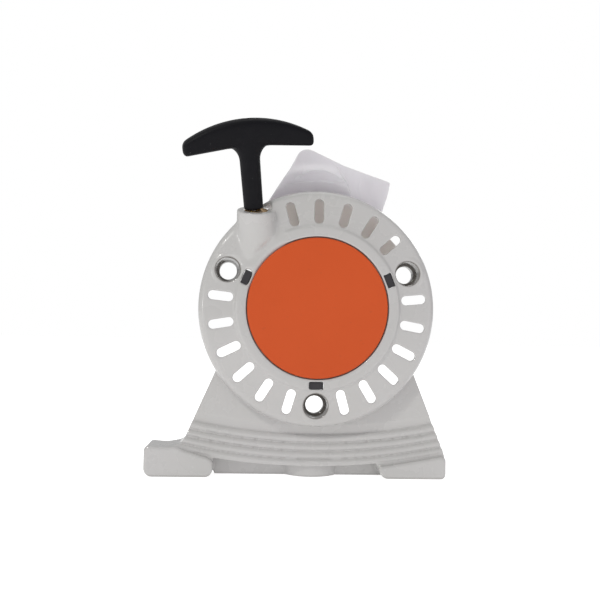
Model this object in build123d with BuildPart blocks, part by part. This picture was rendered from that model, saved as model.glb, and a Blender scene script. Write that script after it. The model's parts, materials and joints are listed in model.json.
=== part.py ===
from build123d import *
import os
from math import acos, atan2, cos, degrees, hypot, radians, sin

# Recoil starter for a small petrol engine, in millimetres.
# +Z is up, +Y points into the engine and the front of the cover looks along -Y.
# Depths below are drawn from the base's rear edge. Each finished piece is then moved by DATUM,
# so that the assembly's origin is on the rotor axis in the plane of the engine face.

# ---------------------------------------------------------------- driving dimensions
WALL = 2.6               # moulded wall thickness
FACE_Y = -42.0           # front of the raised rim round the cap
WELL_R = 46.9            # well that holds the cap
RIM_R = 53.2             # outer edge of the raised rim
RING_IN = (54.9, -40.0)  # radius and depth where the slotted ring meets the rim
RING_OUT = (73.4, -38.4)
WALL_R = 78.4            # outside of the cover's round wall
ROUND_END_Y = -26.5      # where the rounded shoulder runs into that wall
WALL_END_Y = -21.0       # rear edge of the round wall, which seats on the engine
DATUM = Location((0, -WALL_END_Y, 0))

PITCH = 16.0             # angle between neighbouring slots and holes
SLOT_R = 63.9            # radius of the slot centres
SLOT_LENGTH = 16.6
SLOT_WIDTH = 6.0
BOLT_R = 64.0            # radius of the three fixing holes
BOLT_HOLE_R = 5.9
BOLT_SEAT_Y = -28.0      # the bolt heads sit at the bottom of deep mouths

SKIRT_Y = -27.0          # flat front of the skirt
REAR_PANEL_Y = -12.6     # back of the panel that closes the base
FOOT_Y = -30.0
FOOT_ROUND = 1.6
GROUND_Z = -112.6        # underside of the feet

LEAN = 21.0              # the rope outlet leans forward by this angle
HANDLE_TILT = 6.0        # the handle also leans to the left
HANDLE_TWIST = 8.0       # and its left end is turned forward
OUTLET = (-41.6, -38.7, 63.6)   # centre of the rope outlet's top face
OUTLET_R = 12.6
OUTLET_LENGTH = 46.0
OUTLET_SPREAD = 4.0 / OUTLET_LENGTH  # the outlet widens by this much for each mm of its length
TUBE_LENGTH = 26.0       # the rope's tube inside the cover
TUBE_R = 6.6
STEM_SHIFT = 1.7         # the handle stands a little left of the outlet's centre
STEM_GAP = 0.85          # and this far above it

STEM_R = (6.35, 6.75)    # bottom and top of the handle's stem
STEM_TOP = 40.6          # height of the bar's underside
BAR_HALF = 42.0
BAR_TIP = (37.4, 46.0)   # underside and top of the bar's ends
BAR_CROWN = 58.0
BAR_DEPTH = 15.0
CHAMBER_R = 4.6          # hollow for the knot, open at the top of the bar
SEAT_HEIGHT = 44.0       # the knot's washer sits this high above the stem's bottom

ROPE_R = 1.5
SLEEVE_R = 6.5           # steel sleeve that the rotor turns on
RUNNING = 0.06           # radial running clearance

BOLT_BOSS_R = 10.4
MOUTH_R = 8.1            # mouths in front of the bolt seats
WINDOW_R = 50.7          # radius of the windows in the rim
WINDOW = (5.2, 9.7)      # their size, radially by across
CENTRE_BOSS = (-1.0, -4.0)      # half-round boss between the feet
CENTRE_BOSS_R = 20.5
CENTRE_BOSS_HEIGHT = 22.0
CAP_R = 46.2
CAP_PEGS = 3             # pegs on the cap's back, the radius they stand on and their own
CAP_PEG_CIRCLE = 30.0
CAP_PEG_R = 2.0

CUP_R = 43.0             # spring cassette
CUP_WALL = 1.6
CUP_FLOOR = 1.2
LUG = 1.8                # thickness of its screw lugs
EAR = (4.8, 9.3)         # ears that fill the windows, radially by across
EAR_Y = -40.2
CASSETTE_SCREWS = (90.0, 210.0, 330.0)  # angles, radius of the circle and thread radius
CASSETTE_SCREW_R = 47.4
CASSETTE_SCREW = 1.5
CASSETTE_POST_R = 3.3
STRIP = 0.6              # rewind spring
SPRING_START_R = 13.4
SPRING_PITCH = 4.0
SPRING_TURNS = 6
SPRING_END_R = SPRING_START_R + SPRING_PITCH * SPRING_TURNS
LOOP_R = 1.55            # loop that hooks the spring's outer end on its anchor

POST_R = 5.4             # axle post and what turns on it
POST_FOOT_R = 6.9
SCREW_R = 2.4
SCREW_LENGTH = 16.0
HUB_R = 11.5
BUSH_R = 7.9
COLLAR_R = 9.4
WASHER_R = 10.0
FLANGE_R = 35.0
GROOVE_FLOOR_R = 26.0
ROTOR_WEB = 2.4          # web between the hub and the groove
SPOKE = 2.0
ROPE_LAYERS = (27.6, 30.7)
KNOT = (-19.0, 0.0)      # the rope's knot in the rotor
KNOT_R = 3.2
KNOT_DEPTH = 6.8
HANDLE_KNOT_R = 3.4

PAWL_PIVOT_R = 20.0
PAWL_PINS = ((0, PAWL_PIVOT_R), (0, -PAWL_PIVOT_R))
PIN_R = 2.0
PIN_DEPTH = 2.2
PEG_ARM = 6.5            # the guide peg's distance from the pawl's pivot
PEG_R = 1.6
PAWL_LENGTH = 25.2       # from the pivot's level to the tip

SEAT_R = 10.4            # flat round the bushing that the handle rests over
BUSHING_R = 4.8
BUSHING_FLANGE_R = 7.6
BUSHING_FLANGE = 0.95
BUSHING_BORE_R = 3.2
BUSHING_LENGTH = 14.0

GUIDE_PLATE_Y = -16.6    # front of the air guide
GUIDE_SHEET = 2.2
GUIDE_DEPTH = 8.0
GUIDE_OUTER_R = 71.5
GUIDE_INNER_R = 52.0
GUIDE_ENDS = (34.0, 118.0)      # angles between which it follows the round wall
GUIDE_SCREWS = (50.0, 98.0)
GUIDE_SCREW = 1.8
GUIDE_POST_R = 3.4

# depths of the stack behind the cap, front to back
CAP_Y = (-41.8, -39.4)
DISH_Y = (-39.2, -36.8)
CASSETTE_Y = (-36.6, -28.8)
SPRING_Y = (-35.1, -29.1)
PLATE_Y = (-28.8, -28.0)
ROTOR_Y = (-27.6, -17.8)
GROOVE_Y = (-26.0, -19.4)
PAWL_Y = (-17.5, -14.1)
CLIP_Y = (-14.0, -13.3)
GUIDE_Y = (-13.0, -11.8)
FRICTION_Y = (-11.7, -10.7)
WASHER_Y = (-10.6, -9.4)

# angles of the fixing holes and of the cooling slots, seen from the front
LOWER_HOLE = 270.0
LEFT_HOLE = LOWER_HOLE - 7 * PITCH
RIGHT_HOLE = LOWER_HOLE + 7 * PITCH - 360.0
HOLES = (RIGHT_HOLE, LEFT_HOLE, LOWER_HOLE)
SLOTS = [LEFT_HOLE + PITCH * step for step in range(1, 7)]
SLOTS += [LOWER_HOLE + PITCH * step for step in range(1, 7)]
SLOTS += [90.0 + PITCH * step for step in (-3, -2, -1, 0, 1)]


def at_depth(y):
    """Plane parallel to the cover's face at depth y; it looks forward, along -Y."""
    return Plane.XZ.offset(-y)


def on_circle(radius, angle):
    """Point at this radius and angle round the rotor axis, seen from the front."""
    return (radius * cos(radians(angle)), radius * sin(radians(angle)))


def leaning_plane(origin, tilt):
    """Plane whose normal leans forward by LEAN and to the left by tilt."""
    across = cos(radians(LEAN))
    normal = (
        -sin(radians(tilt)) * across,
        -sin(radians(LEAN)),
        cos(radians(tilt)) * across,
    )
    return Plane(origin=origin, x_dir=(cos(radians(tilt)), 0, sin(radians(tilt))), z_dir=normal)


def save(builder, name):
    """Moves a finished piece to the assembly's origin, labels it and writes its STEP file."""
    piece = builder.part.moved(DATUM)
    piece.label = name
    export_step(piece, f"parts/{name}.step")


os.makedirs("parts", exist_ok=True)

outlet = leaning_plane(OUTLET, 0)
stem_base = outlet.from_local_coords((-STEM_SHIFT, 0, STEM_GAP))
stem = leaning_plane(stem_base, HANDLE_TILT)

# ================================================================ starter housing
# skirt edges, from the ring down to the ground and in to the lip between the feet
LIP_Z = -105.0
RIB_CENTRE_Z = 311.0     # the ribs are arcs round this height
RIB_TOP = 389.2          # radius of the crease above the ribs
VALLEYS = (394.9, 400.9, 406.2, 411.5)
RIB_END = 416.0
LEFT_EDGE = (
    on_circle(WALL_R, 212.7),
    (-87.0, -91.0),
    (-99.0, -93.2),
    (-111.7, -92.2),
    (-111.7, GROUND_Z),
    (-66.6, GROUND_Z),
    (-66.6, -100.2),
)
RIGHT_EDGE = (
    (42.6, -102.8),
    (46.4, GROUND_Z),
    (89.1, GROUND_Z),
    (89.1, -98.3),
    on_circle(WALL_R, 327.8),
)
LEFT_FOOT = (
    (-91.0, -92.6),
    (-84.6, -95.4),
    (-70.0, -99.8),
    (-66.6, -102.0),
    (-66.6, GROUND_Z),
    (-111.7, GROUND_Z),
    (-111.7, -92.2),
    (-99.0, -93.2),
)
RIGHT_FOOT = (
    (89.1, -97.0),
    (49.0, -104.0),
    (43.4, -104.4),
    (46.4, GROUND_Z),
    (89.1, GROUND_Z),
)


def foot_outline(corners, radii):
    """Front outline of one foot."""
    with BuildSketch() as outline:
        with BuildLine():
            FilletPolyline(*corners, radius=radii, close=True)
        make_face()
    return outline.sketch


def outlet_cone(inset, top, bottom):
    """Solid of the rope outlet, which widens to the right as it goes down into the cover."""
    with BuildPart() as cone:
        for depth in (top, bottom):
            widening = OUTLET_SPREAD * depth
            with BuildSketch(outlet.offset(-depth)):
                with Locations((widening, 0)):
                    Circle(OUTLET_R - inset + widening)
        loft()
    return cone.part


# front outline of the base below the round wall
with BuildSketch() as base_outline:
    with BuildLine():
        left = FilletPolyline(*LEFT_EDGE, radius=(9, 20, 3.2, 5.5, 5))
        right = FilletPolyline(*RIGHT_EDGE, radius=(5.5, 3.2, 25))
        ThreePointArc(left @ 1, (0, LIP_Z), right @ 0)
        ThreePointArc(right @ 1, (0, -WALL_R), left @ 0)
    make_face()

with BuildSketch() as base_inside:
    offset(base_outline.sketch, -WALL)

left_foot_face = foot_outline(LEFT_FOOT, (2, 6, 2, 2.5, 5, 5.5, 3.2, 20))
right_foot_face = foot_outline(RIGHT_FOOT, (3, 6, 1.8, 5.5, 3.2))

# room behind the cover's face
with BuildPart() as cavity:
    with BuildSketch(Plane.XY):
        with BuildLine():
            inner_wall = Line((WALL_R - WALL, 0), (WALL_R - WALL, ROUND_END_Y))
            inner_round = Spline(
                inner_wall @ 1,
                (RING_OUT[0] - 0.3, RING_OUT[1] + WALL),
                tangents=[(0, -1), (-1, -0.1)],
            )
            Polyline(
                inner_round @ 1,
                (RING_IN[0] - 0.8, RING_IN[1] + WALL),
                (RIM_R - 0.9, FACE_Y + WALL),
                (WELL_R + WALL, FACE_Y + WALL),
                (WELL_R + WALL, DISH_Y[1]),
                (0, DISH_Y[1]),
                (0, 0),
                inner_wall @ 0,
            )
        make_face()
    revolve(axis=Axis.Y)

# convex ribs that run across the skirt as arcs round a centre high above the starter
with BuildPart() as ribs:
    rib_plane = Plane(origin=(0, 0, RIB_CENTRE_Z), x_dir=(0, 0, -1), z_dir=(1, 0, 0))
    valley_y = SKIRT_Y + 1.7
    crest_y = SKIRT_Y - 0.5
    back_y = SKIRT_Y + 4.4
    with BuildSketch(rib_plane):
        with BuildLine():
            Polyline(
                (RIB_TOP - 4, back_y),
                (RIB_TOP - 4, SKIRT_Y),
                (RIB_TOP, SKIRT_Y),
                (VALLEYS[0], valley_y),
            )
            for upper, lower in zip(VALLEYS, VALLEYS[1:]):
                ThreePointArc((upper, valley_y), ((upper + lower) / 2, crest_y), (lower, valley_y))
            lip = ThreePointArc(
                (VALLEYS[-1], valley_y),
                (RIB_END - 1.6, crest_y),
                (RIB_END, SKIRT_Y + 1.4),
            )
            Polyline(lip @ 1, (RIB_END, back_y), (RIB_TOP - 4, back_y))
        make_face()
    revolve(axis=Axis((0, 0, RIB_CENTRE_Z), (0, 1, 0)))
    with BuildSketch(at_depth(-20)):
        add(base_outline.sketch)
    extrude(amount=10, mode=Mode.INTERSECT)

with BuildPart() as left_foot:
    with BuildSketch(at_depth(SKIRT_Y + WALL)):
        add(left_foot_face)
    extrude(amount=SKIRT_Y + WALL - FOOT_Y)
    fillet(left_foot.faces().sort_by(Axis.Y)[0].edges(), FOOT_ROUND)

with BuildPart() as right_foot:
    with BuildSketch(at_depth(SKIRT_Y + WALL)):
        add(right_foot_face)
    extrude(amount=SKIRT_Y + WALL - FOOT_Y)
    fillet(right_foot.faces().sort_by(Axis.Y)[0].edges(), FOOT_ROUND)

# leaning outlet, cut back to the outside of the cover and clear of the rim
with BuildPart() as outlet_boss:
    add(outlet_cone(0, 0, OUTLET_LENGTH))
    split(bisect_by=at_depth(WALL_END_Y - 3), keep=Keep.TOP)
    add(cavity.part, mode=Mode.SUBTRACT)
    with BuildSketch(at_depth(FACE_Y + 8)):
        Circle(RING_IN[0] - 0.6)
    extrude(amount=30, mode=Mode.SUBTRACT)
    fillet(outlet_boss.faces().sort_by(Axis.Z)[-1].edges().sort_by(Axis.Z)[0], 0.8)

with BuildPart() as outlet_hollow:
    add(outlet_cone(WALL, 3.0, OUTLET_LENGTH))
    with BuildSketch(at_depth(0)):
        Circle(RING_IN[0] + 2.4)
    extrude(amount=60, mode=Mode.SUBTRACT)

with BuildPart() as housing:
    # cover: cap well, raised rim, slotted ring and wall, turned about the rotor axis
    with BuildSketch(Plane.XY):
        with BuildLine():
            front = FilletPolyline(
                (0, DISH_Y[0]),
                (WELL_R, DISH_Y[0]),
                (WELL_R, FACE_Y),
                (RIM_R, FACE_Y),
                RING_IN,
                RING_OUT,
                radius=(0, 0.5, 1.8, 1.6),
            )
            shoulder = Spline(front @ 1, (WALL_R, ROUND_END_Y), tangents=[front % 1, (0, 1)])
            Polyline(
                shoulder @ 1,
                (WALL_R, WALL_END_Y),
                (0, WALL_END_Y),
                (0, DISH_Y[0]),
            )
        make_face()
    revolve(axis=Axis.Y)
    add(outlet_boss.part)
    add(cavity.part, mode=Mode.SUBTRACT)
    add(outlet_hollow.part, mode=Mode.SUBTRACT)

    # base: skirt and side walls, hollow behind, with the rib band set into its front
    with BuildSketch(at_depth(0)):
        add(base_outline.sketch)
    extrude(amount=-SKIRT_Y)
    with BuildSketch(at_depth(0)):
        add(base_inside.sketch)
    extrude(amount=-SKIRT_Y - WALL, mode=Mode.SUBTRACT)
    with BuildSketch(at_depth(SKIRT_Y + WALL)):
        with Locations((0, RIB_CENTRE_Z)):
            Circle(RIB_END - 1)
            Circle(RIB_TOP, mode=Mode.SUBTRACT)
        Circle(WALL_R, mode=Mode.SUBTRACT)
    extrude(amount=WALL, mode=Mode.SUBTRACT)
    add(ribs.part)
    add(left_foot.part)
    add(right_foot.part)
    with BuildSketch(at_depth(SKIRT_Y + 5)):
        for face in (left_foot_face, right_foot_face):
            offset(face, -WALL)
    extrude(amount=SKIRT_Y + 5 - FOOT_Y - WALL, mode=Mode.SUBTRACT)

    # panel that closes the base, and the half-round boss in the middle of it
    with BuildSketch(at_depth(REAR_PANEL_Y)):
        add(base_outline.sketch)
        Polygon((-70, -95), (-66, GROUND_Z), (62, GROUND_Z), (66, -95), align=None)
    extrude(amount=WALL - 0.2)
    with BuildSketch(Plane.XY.offset(GROUND_Z)):
        with Locations(CENTRE_BOSS):
            Circle(CENTRE_BOSS_R)
            Circle(CENTRE_BOSS_R - WALL, mode=Mode.SUBTRACT)
        with Locations((CENTRE_BOSS[0], REAR_PANEL_Y - WALL)):
            Rectangle(
                3 * CENTRE_BOSS_R,
                2 * CENTRE_BOSS_R,
                align=(Align.CENTER, Align.MIN),
                mode=Mode.SUBTRACT,
            )
    extrude(amount=CENTRE_BOSS_HEIGHT)

    # bosses for the fixing bolts, with deep mouths in front
    fixing_points = [on_circle(BOLT_R, angle) for angle in HOLES]
    with BuildSketch(at_depth(WALL_END_Y)):
        with Locations(*fixing_points):
            Circle(BOLT_BOSS_R)
    extrude(amount=WALL_END_Y - RING_IN[1] - 1)
    for point in fixing_points:
        mouth = Plane(origin=(point[0], BOLT_SEAT_Y, point[1]), x_dir=(1, 0, 0), z_dir=(0, -1, 0))
        with BuildSketch(mouth):
            Circle(MOUTH_R - 0.9)
        with BuildSketch(mouth.offset(BOLT_SEAT_Y - FACE_Y)):
            Circle(MOUTH_R + 0.2)
        loft(mode=Mode.SUBTRACT)
    with BuildSketch(at_depth(0)):
        with Locations(*fixing_points):
            Circle(BOLT_HOLE_R)
    extrude(amount=-FACE_Y, mode=Mode.SUBTRACT)

    # cooling slots and the three windows in the rim
    with BuildSketch(at_depth(ROUND_END_Y)):
        for angle in SLOTS:
            with Locations(Location(on_circle(SLOT_R, angle), angle)):
                SlotOverall(SLOT_LENGTH, SLOT_WIDTH)
    extrude(amount=ROUND_END_Y - FACE_Y, mode=Mode.SUBTRACT)
    with BuildSketch(at_depth(DISH_Y[1])):
        for angle in HOLES:
            with Locations(Location(on_circle(WINDOW_R, angle), angle)):
                RectangleRounded(WINDOW[0], WINDOW[1], 0.8)
    extrude(amount=DISH_Y[1] - FACE_Y, mode=Mode.SUBTRACT)

    # posts for the cassette's and the air guide's screws
    with BuildSketch(at_depth(CASSETTE_Y[1] - LUG)):
        with Locations(*(on_circle(CASSETTE_SCREW_R, angle) for angle in CASSETTE_SCREWS)):
            Circle(CASSETTE_POST_R)
            Circle(CASSETTE_SCREW - 0.05, mode=Mode.SUBTRACT)
    extrude(amount=CASSETTE_Y[1] - LUG - DISH_Y[0] - 1)
    with BuildSketch(at_depth(GUIDE_PLATE_Y)):
        with Locations(*(on_circle(BOLT_R, angle) for angle in GUIDE_SCREWS)):
            Circle(GUIDE_POST_R)
            Circle(GUIDE_SCREW - 0.05, mode=Mode.SUBTRACT)
    extrude(amount=GUIDE_PLATE_Y - RING_IN[1] - 1.2)

    # tube and bore of the rope outlet, and a clear seat for the handle on its top
    with BuildSketch(outlet):
        Circle(SEAT_R)
    extrude(amount=10, mode=Mode.SUBTRACT)
    with BuildSketch(outlet):
        Circle(TUBE_R)
    extrude(amount=-TUBE_LENGTH)
    with BuildSketch(outlet.offset(1)):
        Circle(BUSHING_R)
    extrude(amount=-TUBE_LENGTH - 12, mode=Mode.SUBTRACT)
    with BuildSketch(outlet):
        Circle(BUSHING_FLANGE_R + 0.1)
    extrude(amount=-BUSHING_FLANGE - 0.05, mode=Mode.SUBTRACT)

    # axle post behind the cap, and holes for the cap's pegs
    with BuildSketch(at_depth(SPRING_Y[0] - 0.1)):
        Circle(POST_FOOT_R)
    extrude(amount=SPRING_Y[0] - 0.1 - DISH_Y[0] - 1)
    with BuildSketch(at_depth(WASHER_Y[0] - 0.2)):
        Circle(POST_R)
    extrude(amount=WASHER_Y[0] - 0.2 - DISH_Y[0] - 1)
    with BuildSketch(at_depth(0)):
        Circle(SCREW_R + 0.02)
    extrude(amount=SCREW_LENGTH - WASHER_Y[1] + 1, mode=Mode.SUBTRACT)
    with BuildSketch(at_depth(0)):
        with PolarLocations(CAP_PEG_CIRCLE, CAP_PEGS, start_angle=90):
            Circle(CAP_PEG_R + 0.1)
    extrude(amount=-DISH_Y[0], mode=Mode.SUBTRACT)

save(housing, "starter_housing")

# ================================================================ pieces fixed to the housing
with BuildPart() as center_cap:
    with BuildSketch(at_depth(CAP_Y[1])):
        Circle(CAP_R)
    extrude(amount=CAP_Y[1] - CAP_Y[0])
    fillet(center_cap.faces().sort_by(Axis.Y)[0].edges(), 0.9)
    with BuildSketch(at_depth(DISH_Y[1] - 0.1)):
        with PolarLocations(CAP_PEG_CIRCLE, CAP_PEGS, start_angle=90):
            Circle(CAP_PEG_R)
    extrude(amount=DISH_Y[1] - 0.1 - CAP_Y[1])
save(center_cap, "center_cap")

# cup that holds the rewind spring, with three ears that show in the rim's windows
with BuildPart() as cassette:
    with BuildSketch(at_depth(CASSETTE_Y[1])):
        Circle(CUP_R)
    extrude(amount=CASSETTE_Y[1] - CASSETTE_Y[0])
    with BuildSketch(at_depth(CASSETTE_Y[1])):
        Circle(CUP_R - CUP_WALL)
    extrude(amount=CASSETTE_Y[1] - CASSETTE_Y[0] - CUP_FLOOR, mode=Mode.SUBTRACT)
    with BuildSketch(at_depth(CASSETTE_Y[1])):
        for angle in HOLES:
            with Locations(Location(on_circle(CUP_R + 4.2, angle), angle)):
                Rectangle(11.0, EAR[1])
        for angle in CASSETTE_SCREWS:
            with Locations(Location(on_circle(CASSETTE_SCREW_R - 2, angle), angle)):
                SlotOverall(11.0, 7.0)
        Circle(CUP_R - CUP_WALL / 2, mode=Mode.SUBTRACT)
        with Locations(*(on_circle(CASSETTE_SCREW_R, angle) for angle in CASSETTE_SCREWS)):
            Circle(CASSETTE_SCREW + 0.2, mode=Mode.SUBTRACT)
    extrude(amount=LUG)
    with BuildSketch(at_depth(CASSETTE_Y[1])):
        for angle in HOLES:
            with Locations(Location(on_circle(WINDOW_R, angle), angle)):
                RectangleRounded(EAR[0], EAR[1], 0.7)
    extrude(amount=CASSETTE_Y[1] - EAR_Y)
    with BuildSketch(at_depth(0)):
        Circle(POST_FOOT_R + 0.1)
    extrude(amount=-CASSETTE_Y[0], mode=Mode.SUBTRACT)
    with BuildSketch(at_depth(CASSETTE_Y[1])):
        with Locations((SPRING_END_R + LOOP_R - STRIP / 2, 0)):
            Circle(LOOP_R - STRIP - RUNNING)
    extrude(amount=CASSETTE_Y[1] - CASSETTE_Y[0] - 1)
save(cassette, "spring_cassette")

with BuildPart() as cover_plate:
    with BuildSketch(at_depth(PLATE_Y[1])):
        Circle(CUP_R - 0.4)
        for angle in CASSETTE_SCREWS:
            with Locations(Location(on_circle(CASSETTE_SCREW_R - 2, angle), angle)):
                SlotOverall(10.4, 6.4)
        Circle(HUB_R + 1.5, mode=Mode.SUBTRACT)
        with Locations(*(on_circle(CASSETTE_SCREW_R, angle) for angle in CASSETTE_SCREWS)):
            Circle(CASSETTE_SCREW + 0.2, mode=Mode.SUBTRACT)
    extrude(amount=PLATE_Y[1] - PLATE_Y[0])
save(cover_plate, "spring_cover_plate")

# spiral of half circles whose centres alternate by half the pitch
with BuildPart() as rewind_spring:
    with BuildSketch(at_depth(SPRING_Y[1])):
        with BuildLine():
            edges = []
            for side in (-STRIP / 2, STRIP / 2):
                radius = SPRING_START_R + side
                for turn in range(SPRING_TURNS * 2):
                    centre = (0, 0) if turn % 2 == 0 else (SPRING_PITCH / 2, 0)
                    edges.append(CenterArc(centre, radius, 180 * (turn % 2), 180))
                    radius += SPRING_PITCH / 2
            ends = len(edges) // 2
            Line(edges[0] @ 0, edges[ends] @ 0)
            Line(edges[ends - 1] @ 1, edges[-1] @ 1)
        make_face()
        with Locations((SPRING_START_R - 1.4, 0)):
            Rectangle(3.0, STRIP)
        with Locations((SPRING_END_R + LOOP_R - STRIP / 2, 0)):
            Circle(LOOP_R)
            Circle(LOOP_R - STRIP, mode=Mode.SUBTRACT)
    extrude(amount=SPRING_Y[1] - SPRING_Y[0])
save(rewind_spring, "rewind_spring")


def pan_screws(points, radius, head_y, length, head_r, head):
    """Screws driven from behind at these points, with a cross recess."""
    with BuildPart() as screws:
        with BuildSketch(at_depth(head_y)):
            with Locations(*points):
                Circle(radius)
        extrude(amount=length)
        with BuildSketch(at_depth(head_y + head)):
            with Locations(*points):
                Circle(head_r)
        extrude(amount=head)
        rims = screws.edges().filter_by(GeomType.CIRCLE).group_by(Axis.Y)[-1]
        fillet(rims, head * 0.45)
        with BuildSketch(at_depth(head_y + head)):
            with Locations(*points):
                Rectangle(head_r * 1.1, head_r * 0.24)
                Rectangle(head_r * 0.24, head_r * 1.1)
        extrude(amount=head * 0.6, mode=Mode.SUBTRACT)
    return screws


cassette_points = [on_circle(CASSETTE_SCREW_R, angle) for angle in CASSETTE_SCREWS]
cassette_screws = pan_screws(cassette_points, CASSETTE_SCREW - 0.1, PLATE_Y[1], 7.6, 2.9, 1.7)
save(cassette_screws, "cassette_screws")

guide_points = [on_circle(BOLT_R, angle) for angle in GUIDE_SCREWS]
air_guide_screws = pan_screws(
    guide_points, GUIDE_SCREW - 0.1, GUIDE_PLATE_Y + GUIDE_SHEET, 10.0, 3.3, 2.0
)
save(air_guide_screws, "air_guide_screws")

center_screw = pan_screws([(0, 0)], SCREW_R, WASHER_Y[1], SCREW_LENGTH, 5.2, 3.0)
save(center_screw, "center_screw")

# brass lining of the outlet, flared at its mouth
with BuildPart() as bushing:
    with BuildSketch(outlet):
        Circle(BUSHING_FLANGE_R)
    extrude(amount=-BUSHING_FLANGE)
    with BuildSketch(outlet):
        Circle(BUSHING_R - 0.02)
    extrude(amount=-BUSHING_LENGTH)
    with BuildSketch(outlet):
        Circle(BUSHING_BORE_R)
    extrude(amount=-BUSHING_LENGTH, mode=Mode.SUBTRACT)
    fillet(bushing.edges().filter_by(GeomType.CIRCLE).sort_by(SortBy.RADIUS)[:2], 0.7)
save(bushing, "rope_bushing")

# ---------------------------------------------------------------- air guide
with BuildSketch() as guide_outline:
    with BuildLine():
        wing = FilletPolyline(
            on_circle(GUIDE_OUTER_R, GUIDE_ENDS[1]),
            (-34.2, 72.4),
            (-19.4, 95.4),
            (-10.8, 112.9),
            (18.0, 99.9),
            (51.0, 89.0),
            (48.9, 79.0),
            (44.6, 66.0),
            on_circle(GUIDE_OUTER_R, 48),
            radius=(6, 30, 8, 30, 1.6, 40, 20),
        )
        tail = ThreePointArc(
            wing @ 1,
            on_circle(GUIDE_OUTER_R, GUIDE_ENDS[0] + 8),
            on_circle(GUIDE_OUTER_R, GUIDE_ENDS[0]),
        )
        end = Line(tail @ 1, on_circle(GUIDE_INNER_R, GUIDE_ENDS[0]))
        inner = ThreePointArc(
            end @ 1,
            on_circle(GUIDE_INNER_R, sum(GUIDE_ENDS) / 2),
            on_circle(GUIDE_INNER_R, GUIDE_ENDS[1]),
        )
        Line(inner @ 1, wing @ 0)
    make_face()

with BuildPart() as air_guide:
    with BuildSketch(at_depth(GUIDE_PLATE_Y + GUIDE_SHEET)):
        add(guide_outline.sketch)
    extrude(amount=GUIDE_SHEET)
    with BuildSketch(at_depth(GUIDE_PLATE_Y + GUIDE_DEPTH)):
        add(guide_outline.sketch)
        Circle(GUIDE_INNER_R + GUIDE_SHEET, mode=Mode.INTERSECT)
    extrude(amount=GUIDE_DEPTH)
    with BuildSketch(at_depth(0)):
        with Locations(*guide_points):
            Circle(GUIDE_SCREW + 0.2)
    extrude(amount=40, mode=Mode.SUBTRACT)
save(air_guide, "air_guide")

# ================================================================ rotor and what rides on it
with BuildPart() as sleeve:
    with BuildSketch(at_depth(WASHER_Y[0] - 0.02)):
        Circle(SLEEVE_R)
        Circle(POST_R + 0.01, mode=Mode.SUBTRACT)
    extrude(amount=WASHER_Y[0] - SPRING_Y[0])
save(sleeve, "axle_sleeve")

with BuildPart() as washer:
    with BuildSketch(at_depth(WASHER_Y[1] - 0.01)):
        Circle(WASHER_R)
        Circle(SCREW_R + 0.2, mode=Mode.SUBTRACT)
    extrude(amount=WASHER_Y[1] - WASHER_Y[0] - 0.02)
save(washer, "thrust_washer")

with BuildPart() as friction_spring:
    with BuildSketch(at_depth(FRICTION_Y[1])):
        Circle(WASHER_R - 0.3)
        Circle(SLEEVE_R + 0.3, mode=Mode.SUBTRACT)
    extrude(amount=FRICTION_Y[1] - FRICTION_Y[0])
save(friction_spring, "friction_spring")

with BuildPart() as rotor:
    with BuildSketch(Plane.XY):
        with BuildLine():
            Polyline(
                (BUSH_R, SPRING_Y[0] + 0.3),
                (HUB_R, SPRING_Y[0] + 0.3),
                (HUB_R, ROTOR_Y[0]),
                (FLANGE_R, ROTOR_Y[0]),
                (FLANGE_R, GROOVE_Y[0] - 0.4),
                (GROOVE_FLOOR_R, GROOVE_Y[0]),
                (GROOVE_FLOOR_R, GROOVE_Y[1]),
                (FLANGE_R, GROOVE_Y[1] + 0.4),
                (FLANGE_R, ROTOR_Y[1]),
                (COLLAR_R, ROTOR_Y[1]),
                (COLLAR_R, GUIDE_Y[0] - 0.1),
                (BUSH_R, GUIDE_Y[0] - 0.1),
                (BUSH_R, SPRING_Y[0] + 0.3),
            )
        make_face()
    revolve(axis=Axis.Y)
    # lightening pockets between six spokes
    with BuildSketch(at_depth(ROTOR_Y[1] - ROTOR_WEB)):
        with Locations((0, 0)):
            Circle(GROOVE_FLOOR_R - SPOKE)
            Circle(HUB_R + SPOKE, mode=Mode.SUBTRACT)
        with PolarLocations(0, 3):
            Rectangle(2 * FLANGE_R, SPOKE, mode=Mode.SUBTRACT)
        with Locations(*PAWL_PINS):
            Circle(PIN_R + 2.6, mode=Mode.SUBTRACT)
        with Locations(KNOT):
            Circle(5.0, mode=Mode.SUBTRACT)
    extrude(amount=ROTOR_Y[1] - ROTOR_WEB - ROTOR_Y[0], mode=Mode.SUBTRACT)
    # pin holes, the notch that takes the spring's inner end, and the rope's knot
    with BuildSketch(at_depth(ROTOR_Y[1])):
        with Locations(*PAWL_PINS):
            Circle(PIN_R)
    extrude(amount=PIN_DEPTH, mode=Mode.SUBTRACT)
    with BuildSketch(at_depth(ROTOR_Y[0])):
        with Locations((SPRING_START_R - 1.6, 0)):
            Rectangle(4.0, STRIP + 0.6)
    extrude(amount=ROTOR_Y[0] - SPRING_Y[0] + 1, mode=Mode.SUBTRACT)
    with BuildSketch(at_depth(ROTOR_Y[0])):
        with Locations(KNOT):
            Circle(KNOT_R + 0.25)
    extrude(amount=-KNOT_DEPTH, mode=Mode.SUBTRACT)
save(rotor, "rope_rotor")

with BuildPart() as bush:
    with BuildSketch(at_depth(GUIDE_Y[0] - 0.4)):
        Circle(BUSH_R)
        Circle(SLEEVE_R + RUNNING, mode=Mode.SUBTRACT)
    extrude(amount=GUIDE_Y[0] - 0.4 - SPRING_Y[0] - 0.6)
save(bush, "rotor_bush")

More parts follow.
